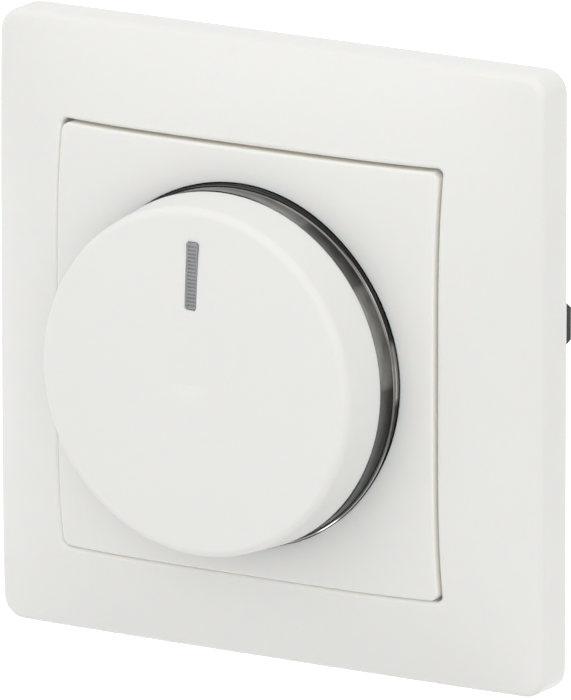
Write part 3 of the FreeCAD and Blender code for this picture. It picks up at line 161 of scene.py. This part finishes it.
class Look:
    """A principled material whose helpers add noise, bump and roughness in object space."""

    def __init__(self, name, color, metallic=0.0):
        self.material = bpy.data.materials.new(name)
        self.material.use_nodes = True
        self.nodes = self.material.node_tree.nodes
        self.links = self.material.node_tree.links
        self.shader = self.nodes["Principled BSDF"]
        self.shader.inputs["Base Color"].default_value = (*color, 1.0)
        self.shader.inputs["Metallic"].default_value = metallic
        self.shader.inputs["Roughness"].default_value = 0.5
        self.color = color
        self.place = self.nodes.new("ShaderNodeTexCoord").outputs["Object"]
        self.normal = None

    def put(self, socket, value):
        self.shader.inputs[socket].default_value = value
        return self

    def noise(self, scale, detail, stretch=EVEN):
        """Noise at a scale per metre, finer along the axes with a large stretch."""
        mapping = self.nodes.new("ShaderNodeMapping")
        mapping.inputs["Scale"].default_value = stretch
        self.links.new(self.place, mapping.inputs["Vector"])
        texture = self.nodes.new("ShaderNodeTexNoise")
        texture.inputs["Scale"].default_value = scale
        texture.inputs["Detail"].default_value = detail
        self.links.new(mapping.outputs["Vector"], texture.inputs["Vector"])
        return texture.outputs["Fac"]

    def ramp(self, source, low, high, start=0.3, stop=0.7):
        """A value that runs from low to high while the source runs from start to stop."""
        scale = self.nodes.new("ShaderNodeMapRange")
        scale.inputs["From Min"].default_value = start
        scale.inputs["From Max"].default_value = stop
        scale.inputs["To Min"].default_value = low
        scale.inputs["To Max"].default_value = high
        self.links.new(source, scale.inputs["Value"])
        return scale.outputs["Result"]

    def gloss(self, low, high, scale, stretch=EVEN):
        """Roughness that wanders between two values."""
        source = self.noise(scale, 3.0, stretch)
        self.links.new(self.ramp(source, low, high), self.shader.inputs["Roughness"])
        return self

    def tint(self, other, scale, detail=2.0):
        """Colour that wanders between the base colour and another."""
        mix = self.nodes.new("ShaderNodeMix")
        mix.data_type = "RGBA"
        mix.inputs[6].default_value = (*self.color, 1.0)
        mix.inputs[7].default_value = (*other, 1.0)
        self.links.new(self.ramp(self.noise(scale, detail), 0.0, 1.0, 0.35, 0.65), mix.inputs[0])
        self.links.new(mix.outputs[2], self.shader.inputs["Base Color"])
        return self

    def translucent(self, weight, scale):
        """Light that spreads under the surface, red furthest, as in white plastic."""
        self.put("Subsurface Weight", weight).put("Subsurface Radius", (1.0, 0.72, 0.5))
        return self.put("Subsurface Scale", scale)

    def bump(self, scale, depth, detail=2.0, stretch=EVEN):
        """Relief of a depth in metres; calls add up."""
        node = self.nodes.new("ShaderNodeBump")
        node.inputs["Strength"].default_value = 1.0
        node.inputs["Distance"].default_value = depth
        self.links.new(self.noise(scale, detail, stretch), node.inputs["Height"])
        if self.normal:
            self.links.new(self.normal, node.inputs["Normal"])
        self.normal = node.outputs["Normal"]
        self.links.new(self.normal, self.shader.inputs["Normal"])
        return self


# Reflections painted into the plated ring's colour on its wall, ridge and bevel: the grey of a dark room
# and two lights in it, as (start, end, grey), in degrees from +X towards +Z

# painted glint of a lamp, shared by the ridge and the bevel
PAINTED_GLINT = (-60, -50, 1.0)
WALL_PAINTED_REFLECTION = (0.1, ((0, 35, 0.3), (60, 180, 0.3)))
RIDGE_PAINTED_REFLECTION = (0.25, (PAINTED_GLINT, (15, 75, 0.4)))
BEVEL_PAINTED_REFLECTION = (0.03, (PAINTED_GLINT, (-5, 15, 0.25)))
PAINTED_LIGHT_EDGE = 2

# Heights of the painted ridge band's foot and top over the wall, how far its line drops per metre of Z,
# and the blur of both lines; then the heights between which the wall's painted shade goes from dark to
# full, and its darkest level

RIDGE = (0.01348, 0.01384)
RIDGE_TILT = 0.022
FOOT_BLUR, TOP_BLUR = 0.00003, 0.00005
WALL = (0.0139, 0.0165)
WALL_PAINTED_SHADE = 0.35
MOTTLE = (0.72, 1.28)
WARMTH, BEVEL_WARMTH = 0.03, 0.04
BLUE_LOSS = 2.5


def paint_reflection_bands(look, turn, room, warmth):
    """A painted reflection, a warm grey that runs round the ring's axis: the dark room, and its lights
    with soft edges.
    """
    dark, lights = room
    bands = [(-180, dark)]
    for start, end, grey in lights:
        bands += [(start, dark), (start + PAINTED_LIGHT_EDGE, grey), (end - PAINTED_LIGHT_EDGE, grey), (end, dark)]
    ramp = look.nodes.new("ShaderNodeValToRGB")
    stops = ramp.color_ramp.elements
    while len(stops) < len(bands):
        stops.new(0.5)
    for stop, (degrees, grey) in zip(stops, bands):
        stop.position = (degrees + 180) / 360
        stop.color = (grey, grey * (1 - warmth), grey * (1 - BLUE_LOSS * warmth), 1.0)
    look.links.new(turn, ramp.inputs["Fac"])
    return ramp.outputs["Color"]


def blend(look, factor, first, second, kind="MIX"):
    """One colour laid over another; any of the three may be a socket or a plain value."""
    mix = look.nodes.new("ShaderNodeMix")
    mix.data_type = "RGBA"
    mix.blend_type = kind
    for socket, source in ((mix.inputs[0], factor), (mix.inputs[6], first), (mix.inputs[7], second)):
        if isinstance(source, bpy.types.NodeSocket):
            look.links.new(source, socket)
        else:
            socket.default_value = source
    return mix.outputs[2]


def above(look, depth, height, blur):
    """A factor that goes from 0 to 1 where the surface rises past a height."""
    return look.ramp(depth, 1.0, 0.0, -height - blur, -height + blur)


def plated_ring_look():
    """Mirror plating whose colour has painted reflections of a dark room and its lights round its wall,
    ridge and bevel, and painted shade towards the wall's foot.
    """
    look = Look("chrome_plating", (0.5, 0.5, 0.49), 1.0).gloss(0.08, 0.14, 700)
    parts = look.nodes.new("ShaderNodeSeparateXYZ")
    look.links.new(look.place, parts.inputs[0])
    angle = look.nodes.new("ShaderNodeMath")
    angle.operation = "ARCTAN2"
    look.links.new(parts.outputs["Z"], angle.inputs[0])
    look.links.new(parts.outputs["X"], angle.inputs[1])
    turn = look.ramp(angle.outputs[0], 0.0, 1.0, -math.pi, math.pi)
    tilt = look.nodes.new("ShaderNodeMath")
    tilt.operation = "MULTIPLY_ADD"
    tilt.inputs[1].default_value = RIDGE_TILT
    look.links.new(parts.outputs["Z"], tilt.inputs[0])
    look.links.new(parts.outputs["Y"], tilt.inputs[2])
    depth = tilt.outputs[0]
    # painted shade: the wall darker towards its foot
    painted_shade_by_height = look.ramp(parts.outputs["Y"], 1.0, WALL_PAINTED_SHADE, -WALL[1], -WALL[0])
    mottle = look.ramp(look.noise(420, 4.0, (1, 2, 1)), *MOTTLE)
    shade = blend(look, 1.0, painted_shade_by_height, mottle, "MULTIPLY")
    # painted reflection bands on the wall, darkened by the painted shade and a random mottle
    wall = blend(look, 1.0, paint_reflection_bands(look, turn, WALL_PAINTED_REFLECTION, WARMTH), shade, "MULTIPLY")
    ridge = paint_reflection_bands(look, turn, RIDGE_PAINTED_REFLECTION, WARMTH)
    bevel = paint_reflection_bands(look, turn, BEVEL_PAINTED_REFLECTION, BEVEL_WARMTH)
    # the ridge's painted highlight band and the bevel's painted dark reflection, laid over the wall by
    # height
    over = blend(look, above(look, depth, RIDGE[1], TOP_BLUR), ridge, wall)
    color = blend(look, above(look, depth, RIDGE[0], FOOT_BLUR), bevel, over)
    look.links.new(color, look.shader.inputs["Base Color"])
    look.bump(300, 0.000003)
    return look


# Distance of the centre plate's side faces from its middle, how exactly a face meets it, and their painted
# glow

PLATE_SIDE = 0.02755
PLATE_SIDE_TOLERANCE = 0.00008
SIDE_GLOW = 0.08
SIDE_GLOW_COLOR = (1.0, 0.84, 0.64, 1.0)


def paint_warm_side_glow(look):
    """A painted glow: warm emission on the centre plate's side faces, standing in for light that comes
    through the thin plastic.
    """
    parts = look.nodes.new("ShaderNodeSeparateXYZ")
    look.links.new(look.place, parts.inputs[0])
    outer = look.nodes.new("ShaderNodeMath")
    outer.operation = "MAXIMUM"
    for axis, socket in zip("XZ", outer.inputs):
        size = look.nodes.new("ShaderNodeMath")
        size.operation = "ABSOLUTE"
        look.links.new(parts.outputs[axis], size.inputs[0])
        look.links.new(size.outputs[0], socket)
    off = look.nodes.new("ShaderNodeMath")
    off.operation = "COMPARE"
    off.inputs[1].default_value = PLATE_SIDE
    off.inputs[2].default_value = PLATE_SIDE_TOLERANCE
    look.links.new(outer.outputs[0], off.inputs[0])
    glow = look.ramp(off.outputs[0], 0.0, SIDE_GLOW, 0.0, 1.0)
    look.links.new(glow, look.shader.inputs["Emission Strength"])
    look.put("Emission Color", SIDE_GLOW_COLOR)


def make_looks():
    white, white_shade = (0.84, 0.84, 0.815), (0.835, 0.835, 0.808)
    looks = {}
    looks["white_gloss"] = (
        Look("white_gloss", white).tint(white_shade, 40).gloss(0.36, 0.42, 160)
        .translucent(0.5, 0.0012)
        .bump(60, 0.000006).bump(2600, 0.000001)
    )
    # painted warm glow on the centre plate's side faces
    paint_warm_side_glow(looks["white_gloss"])
    looks["white_knob"] = (
        Look("white_knob", white).tint(white_shade, 40).gloss(0.42, 0.48, 200)
        .translucent(0.3, 0.0008)
        .bump(2400, 0.000002, 4.0)
    )
    looks["chrome_plating"] = plated_ring_look()
    looks["grey_lens"] = (
        Look("grey_lens", (0.3, 0.305, 0.31)).tint((0.26, 0.265, 0.27), 900).gloss(0.3, 0.42, 900)
    )
    looks["spring_steel"] = (
        Look("spring_steel", (0.55, 0.55, 0.56), 1.0).gloss(0.22, 0.34, 900).bump(3000, 0.000004)
    )
    looks["turned_steel"] = (
        Look("turned_steel", (0.6, 0.6, 0.61), 1.0).gloss(0.2, 0.32, 500, stretch=(1, 12, 1))
        .bump(900, 0.000004, stretch=(1, 14, 1))
    )
    looks["plated_brass"] = (
        Look("plated_brass", (0.74, 0.71, 0.6), 1.0).tint((0.68, 0.62, 0.46), 300).gloss(0.2, 0.36, 600)
        .bump(1500, 0.000004)
    )
    looks["zinc_steel"] = (
        Look("zinc_steel", (0.62, 0.64, 0.66), 1.0).tint((0.56, 0.57, 0.56), 140).gloss(0.24, 0.42, 260)
        .bump(1800, 0.000006)
    )
    looks["dark_steel"] = (
        Look("dark_steel", (0.045, 0.045, 0.05), 0.7).tint((0.07, 0.065, 0.06), 260).gloss(0.32, 0.5, 500)
        .bump(1600, 0.000008)
    )
    looks["black_moulding"] = (
        Look("black_moulding", (0.025, 0.025, 0.027)).tint((0.035, 0.035, 0.037), 200)
        .gloss(0.38, 0.52, 700).bump(2600, 0.000006)
    )
    looks["grey_moulding"] = (
        Look("grey_moulding", (0.36, 0.37, 0.37)).tint((0.33, 0.34, 0.34), 90).gloss(0.42, 0.56, 500)
        .bump(2400, 0.000012, 4.0)
    )
    looks["natural_moulding"] = (
        Look("natural_moulding", (0.72, 0.69, 0.6)).tint((0.68, 0.65, 0.55), 200).gloss(0.3, 0.42, 500)
        .bump(1800, 0.000006)
    )
    looks["board_laminate"] = (
        Look("board_laminate", (0.04, 0.15, 0.06)).tint((0.06, 0.19, 0.08), 500, 4.0).gloss(0.3, 0.42, 400)
        .bump(1400, 0.00001, stretch=(1, 6, 1))
    )
    looks["bare_aluminium"] = (
        Look("bare_aluminium", (0.7, 0.71, 0.72), 1.0).gloss(0.26, 0.42, 300, stretch=(1, 16, 1))
        .bump(900, 0.000006, stretch=(1, 16, 1))
    )
    looks["ferrite"] = (
        Look("ferrite", (0.05, 0.05, 0.052)).tint((0.08, 0.078, 0.075), 700).gloss(0.55, 0.75, 700)
        .bump(1500, 0.00002, 4.0)
    )
    looks["enamelled_wire"] = (
        Look("enamelled_wire", (0.52, 0.2, 0.07), 0.9).tint((0.4, 0.14, 0.05), 300).gloss(0.2, 0.34, 500)
        .bump(1200, 0.00001, stretch=(1, 6, 1))
    )
    looks["blue_moulding"] = (
        Look("blue_moulding", (0.03, 0.09, 0.35)).tint((0.04, 0.11, 0.4), 300).gloss(0.24, 0.36, 400)
        .bump(800, 0.00001)
    )
    looks["fuse_glass"] = (
        Look("fuse_glass", (0.9, 0.94, 0.94)).put("Transmission Weight", 0.8).put("IOR", 1.5)
        .gloss(0.05, 0.12, 500)
    )
    looks["clear_lens"] = (
        Look("clear_lens", (0.8, 0.86, 0.82)).put("Transmission Weight", 0.6).put("IOR", 1.5)
        .gloss(0.08, 0.16, 500)
    )
    looks["clamp_brass"] = (
        Look("clamp_brass", (0.72, 0.52, 0.2), 1.0).tint((0.62, 0.42, 0.16), 300).gloss(0.24, 0.4, 500)
        .bump(1200, 0.000006, stretch=(1, 10, 1))
    )
    return looks


def dress_nodes(looks):
    """Give every CAD node the look of its slot in the record."""
    for entry in frame["record"]["subparts"]:
        node = frame["nodes"][entry["node"]]
        node.data.materials.clear()
        node.data.materials.append(looks[entry["material_slot"]].material)


# Threads of the claw screws, which the CAD leaves plain; the ridge's foot is a half width, in pitches

THREAD_PITCH = 0.0005
THREAD_ROOT = 0.00147
THREAD_CREST = 0.0016
THREAD_FOOT = 0.4
THREAD_SPAN = (0.0004, 0.0086)
THREAD_STEPS = 24


def add_thread(name, centre_x, body, look):
    """A ridge with three edges that winds right-handed round a screw's shank."""
    low, high = THREAD_SPAN
    count = round((high - low) / THREAD_PITCH * THREAD_STEPS)
    edges = ((THREAD_ROOT, -THREAD_FOOT), (THREAD_CREST, 0.0), (THREAD_ROOT, THREAD_FOOT))
    points, faces = [], [(0, 1, 2), (3 * count + 2, 3 * count + 1, 3 * count)]
    for step in range(count + 1):
        turn = 2 * math.pi * step / THREAD_STEPS
        depth = low + (high - low) * step / count
        for radius, offset in edges:
            x = centre_x + radius * math.cos(turn)
            points.append((x, depth + offset * THREAD_PITCH, radius * math.sin(turn)))
        if step < count:
            first = 3 * step
            for edge in range(3):
                other = (edge + 1) % 3
                faces.append((first + other, first + edge, first + edge + 3, first + other + 3))
    mesh = bpy.data.meshes.new(name)
    mesh.from_pydata(points, [], faces)
    mesh.materials.append(look.material)
    thread = bpy.data.objects.new(name, mesh)
    bpy.context.scene.collection.objects.link(thread)
    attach(thread, body)


def add_threads(looks):
    slots = {entry["node"]: entry["material_slot"] for entry in frame["record"]["subparts"]}
    for side in ("left", "right"):
        low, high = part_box("claw_screw_" + side)
        slot = slots["claw_screw_" + side]
        add_thread("thread_" + side, (low[0] + high[0]) / 2, side + "_claw_screw", looks[slot])


add_camera()
light_world()
for lamp in LAMPS:
    add_lamp(*lamp)
add_floor()
looks = make_looks()
dress_nodes(looks)
add_threads(looks)

scene = bpy.context.scene
scene.view_settings.view_transform = "Standard"
